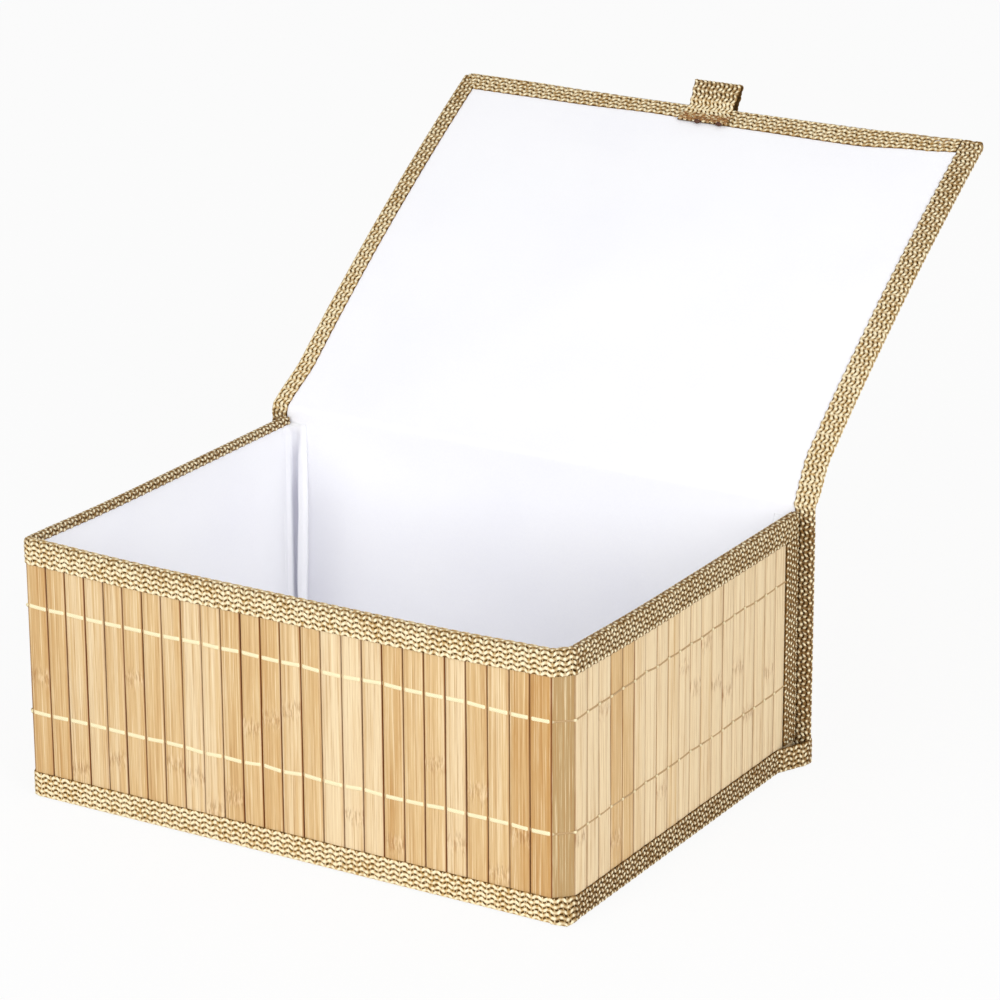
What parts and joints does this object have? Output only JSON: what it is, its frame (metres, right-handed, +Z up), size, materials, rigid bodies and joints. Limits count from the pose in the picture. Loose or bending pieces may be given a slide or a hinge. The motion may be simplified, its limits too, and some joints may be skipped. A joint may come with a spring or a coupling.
{
  "type": "bamboo storage box",
  "caption": "Rectangular storage box of bamboo slats bound with woven tape, lined in white cloth, with a bowed lid on a cloth hinge and a looped pull tab.",
  "frame": {"origin": "middle of the underside, on the plane the box stands on", "axes": "+Z up, +Y from the front wall towards the hinge, +X to the right seen from the front"},
  "size_m": [0.3156, 0.4219, 0.2834],
  "materials": {
    "bamboo": "satin",
    "thread": "matte",
    "board": "matte",
    "lining": "matte",
    "tape": "matte"
  },
  "bodies": {
    "box": {"front_slats": "bamboo", "left_slats": "bamboo", "right_slats": "bamboo", "right_corner_slat": "bamboo", "back_slats": "bamboo", "upper_wall_thread": "thread", "lower_wall_thread": "thread", "back_threads": "thread", "front_board": "board", "left_board": "board", "right_board": "board", "back_board": "board", "base_board": "board", "wall_lining": "lining", "back_lining": "lining", "base_lining": "lining", "left_lining_pleat": "lining", "right_lining_pleat": "lining", "hinge_cloth": "lining", "base_cover": "lining", "rim_binding_front": "tape", "rim_binding_left": "tape", "rim_binding_right": "tape", "left_rear_binding": "tape", "right_rear_binding": "tape", "left_back_binding": "tape", "right_back_binding": "tape", "base_binding_front": "tape", "base_binding_left": "tape", "base_binding_right": "tape", "base_binding_back": "tape"},
    "lid": {"lid_slats": "bamboo", "lid_threads": "thread", "lid_board": "board", "lid_lining": "lining", "lid_left_binding": "tape", "lid_right_binding": "tape", "lid_front_binding": "tape", "pull_tab": "tape"}
  },
  "joints": [
    {"name": "lid_hinge", "type": "hinge", "parent": "box", "child": "lid", "pos_m": [0, 0.1116, 0.1348], "axis": [1, 0, 0], "range_deg": [0, 143.6]}
  ]
}
